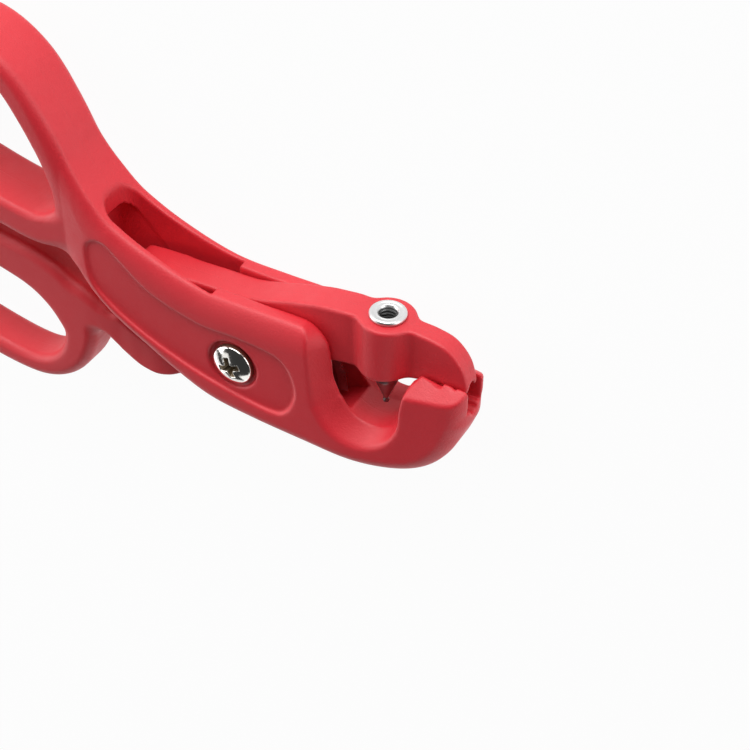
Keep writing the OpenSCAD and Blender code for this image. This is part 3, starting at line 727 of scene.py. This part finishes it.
def screw_field(g):
    """Domed head with a cross recess, on a plain shank."""
    x, y, z = g.x3, g.y3, g.z
    axis = np.hypot(x, y)
    thick = np.maximum(HEAD_LOW - z, z - HEAD_HIGH)
    head = rounded_field(axis - HEAD_R, thick, HEAD_EDGE, HEAD_EDGE)
    head = smooth_max(head, np.sqrt(axis ** 2 + (z - DOME_Z) ** 2) - DOME_R, DOME_ROUND)
    u = x * math.cos(RECESS_TURN) + y * math.sin(RECESS_TURN)
    v = y * math.cos(RECESS_TURN) - x * math.sin(RECESS_TURN)
    deep = np.maximum(DOME_Z + DOME_R - z, 0)
    long, wide = WING_LONG - LONG_TAPER * deep, WING_WIDE - WIDE_TAPER * deep
    wings = [np.maximum(np.abs(a) - long, np.abs(b) - wide) for a, b in ((u, v), (v, u))]
    recess = np.maximum(smooth_min(*wings, WING_ROUND), RECESS_Z - z)
    shank = largest(axis - SHANK_R, SHANK_LOW - z, z - SHANK_HIGH)
    return np.minimum(cut(head, recess, RECESS_ROUND), shank)


grid = Grid((-4.5, -4.5, -7.4), (4.5, 4.5, 8.9), SCREW_STEP)
points, quads = skin(screw_field(grid), grid)
piece("cross_screw", points, quads, "body", ["pivot_screw"], chrome)


# Flanged insert and punch: outlines [radius, height above the boss's underside] turned about one axis

PUNCH_BASE = np.array([PUNCH_X, PUNCH_Y, 0.0])
# Ridged bore: least radius, height of a ridge, top, points down the bore, spacing, points per ridge
RIDGE_R = 1.42
RIDGE = 0.16
RIDGE_TOP = 11.3
RIDGE_POINTS = 118
RIDGE_GAP = 0.09
RIDGE_TURN = 8
waves = [0.5 + 0.5 * math.cos(2 * math.pi * k / RIDGE_TURN) for k in range(RIDGE_POINTS)]
ridges = [(RIDGE_R + RIDGE * wave, RIDGE_TOP - RIDGE_GAP * k) for k, wave in enumerate(waves)]
lip = open_curve([
    (3.22, 11.22), (3.34, 11.4), (3.36, 11.62), (3.26, 11.88), (3.02, 12.05), (2.74, 12.06), (2.48, 11.96),
    (2.26, 11.95), (2.06, 12.0), (1.9, 11.94), (1.72, 11.72), (1.6, 11.5)], 4)
INSERT_R = 2.6
insert = [(INSERT_R, 0.0), (INSERT_R, 11.1), (INSERT_R, 11.2), *lip, *ridges, (RIDGE_R, 0.0)]
points, quads = turned(insert[::-1])
piece("flange_insert", PUNCH_BASE + points, quads, "lever", ["punch_insert"], nickel)

# Ball at the punch's end: radius and height of its centre
BALL_R = 0.6
BALL_Y = -7.98
ball = [(BALL_R * math.cos(a), BALL_Y + BALL_R * math.sin(a)) for a in np.radians(range(60, -81, -20))]
punch = [(0.02, 4.6), (1.4, 4.6), (1.48, 4.5), (1.48, 0.05), (1.6, 0.0), (2.2, 0.0), (2.3, -0.12),
         (2.3, -2.4), (2.27, -2.62), (2.18, -2.9), (1.8, -3.86), (1.2, -5.4), (0.66, -6.8), (0.52, -7.16),
         (0.46, -7.4), *ball, (0.02, -8.58)]
points, quads = turned(punch[::-1])
piece("cone_punch", PUNCH_BASE + points, quads, "lever", ["punch_tip"], punch_steel)


# Pieces kept from CAD

KEPT = {"pivot_nut": plain, "pivot_bush": plain, "blade_pins": plain, "cutter_blade": blade_steel}
for name, mat in KEPT.items():
    mesh = frame["nodes"][name].data
    mesh.materials.clear()
    mesh.materials.append(mat)


# Floor

# Round floor with a wall far behind the part, in metres: radius, height, sides, and gap below the part
FLOOR_R = 4.0
WALL_H = 1.1
SIDES = 64
FLOOR_GAP = 0.0002
# Share of plain white in what is seen, the rest taking shadow, and strength of the table's glow
PLAIN_WHITE = 0.96
TABLE_GLOW = 0.25


def seen_directly(tree):
    """1 for camera, glossy and transmission rays, else 0."""
    path = tree.nodes.new("ShaderNodeLightPath")
    total = path.outputs["Is Camera Ray"]
    for name in ("Is Glossy Ray", "Is Transmission Ray"):
        add = tree.nodes.new("ShaderNodeMath")
        add.operation = "MAXIMUM"
        tree.links.new(total, add.inputs[0])
        tree.links.new(path.outputs[name], add.inputs[1])
        total = add.outputs[0]
    return total


def floor_white():
    """Nearly plain white where it is seen; to all other rays a matt table with a faint glow."""
    mat = bpy.data.materials.new("floor_white")
    mat.use_nodes = True
    tree = mat.node_tree
    tree.nodes.clear()
    out = tree.nodes.new("ShaderNodeOutputMaterial")
    matt = tree.nodes.new("ShaderNodeBsdfDiffuse")
    matt.inputs["Color"].default_value = (0.8, 0.8, 0.8, 1)
    glow = tree.nodes.new("ShaderNodeEmission")
    glow.inputs["Strength"].default_value = 1.0
    shown = tree.nodes.new("ShaderNodeMixShader")
    shown.inputs["Fac"].default_value = PLAIN_WHITE
    tree.links.new(matt.outputs[0], shown.inputs[1])
    tree.links.new(glow.outputs[0], shown.inputs[2])
    table = tree.nodes.new("ShaderNodeEmission")
    table.inputs["Strength"].default_value = TABLE_GLOW
    lit = tree.nodes.new("ShaderNodeAddShader")
    tree.links.new(matt.outputs[0], lit.inputs[0])
    tree.links.new(table.outputs[0], lit.inputs[1])
    pick = tree.nodes.new("ShaderNodeMixShader")
    tree.links.new(seen_directly(tree), pick.inputs["Fac"])
    tree.links.new(lit.outputs[0], pick.inputs[1])
    tree.links.new(shown.outputs[0], pick.inputs[2])
    tree.links.new(pick.outputs[0], out.inputs["Surface"])
    return mat


turns = [2 * math.pi * k / SIDES for k in range(SIDES)]
rim = [(FLOOR_R * math.cos(a), FLOOR_R * math.sin(a), 0) for a in turns]
top = [(x, y, WALL_H) for x, y, _ in rim]
wall = [(k, (k + 1) % SIDES, SIDES + (k + 1) % SIDES, SIDES + k) for k in range(SIDES)]
mesh = bpy.data.meshes.new("floor")
mesh.from_pydata(rim + top, [], [tuple(range(SIDES)), *wall])
floor = bpy.data.objects.new("floor", mesh)
floor.location.z = -FLOOR_GAP
bpy.context.scene.collection.objects.link(floor)
mesh.materials.append(floor_white())


# World

AMBIENT = 0.04
world = bpy.data.worlds.new("studio")
bpy.context.scene.world = world
world.use_nodes = True
tree = world.node_tree
tree.nodes.clear()
out = tree.nodes.new("ShaderNodeOutputWorld")
soft = tree.nodes.new("ShaderNodeBackground")
soft.inputs["Color"].default_value = (1, 1, 1, 1)
soft.inputs["Strength"].default_value = AMBIENT
tree.links.new(soft.outputs[0], out.inputs["Surface"])


# Lamps

# Distance of a lamp in metres; then each lamp's name, direction, width and height in metres, and watts
LAMP_FAR = 0.75
LAMPS = (
    ("back", (-0.08, 0.96, 0.28), (0.8, 0.4), 4.8),
    ("left", (-0.86, 0.2, 0.47), (0.6, 0.5), 2.8),
    ("right", (0.93, 0.3, 0.2), (0.5, 0.3), 1.3),
    ("top", (-0.53, -0.24, 0.81), (0.34, 0.3), 0.3),
    ("low", (-0.75, -0.62, 0.25), (0.5, 0.3), 0.4),
    ("front", (0.3, -0.85, 0.42), (0.5, 0.3), 0.5),
)


def softbox(name, direction, size, power):
    """Rectangular lamp that faces the middle of the part."""
    lamp = bpy.data.lights.new(name, "AREA")
    lamp.shape = "RECTANGLE"
    lamp.size, lamp.size_y = size
    lamp.energy = power
    obj = bpy.data.objects.new(name, lamp)
    way = Vector(direction).normalized()
    obj.location = way * LAMP_FAR
    obj.rotation_euler = way.to_track_quat("Z", "Y").to_euler()
    bpy.context.scene.collection.objects.link(obj)


for lamp in LAMPS:
    softbox(*lamp)


# Camera, placed as in the photograph

AZIMUTH = math.radians(151.1317)
ELEVATION = math.radians(41.4831)
ROLL = math.radians(-139.2112)
# Distance from the hinge along the line of sight, and place of the picture's middle from the hinge, in mm
CAMERA_FAR = 328.378
MIDDLE_RIGHT = 22.2575
MIDDLE_UP = -5.8139
LENS = 86.4
SENSOR = 36

level = Vector((math.cos(AZIMUTH), math.sin(AZIMUTH), 0))
back = Vector((math.sin(AZIMUTH), -math.cos(AZIMUTH), math.tan(ELEVATION))).normalized()
right = math.cos(ROLL) * level + math.sin(ROLL) * back.cross(level)
up = back.cross(right)
spot = (Vector(HINGE) + CAMERA_FAR * back + MIDDLE_RIGHT * right + MIDDLE_UP * up) * MM
camera_data = bpy.data.cameras.new("camera")
camera_data.lens = LENS
camera_data.sensor_width = SENSOR
camera_data.clip_start = 0.01
camera = bpy.data.objects.new("camera", camera_data)
camera.matrix_world = Matrix.Translation(spot) @ Matrix((right, up, back)).transposed().to_4x4()
bpy.context.scene.collection.objects.link(camera)
bpy.context.scene.camera = camera
bpy.context.scene.view_settings.view_transform = "Standard"
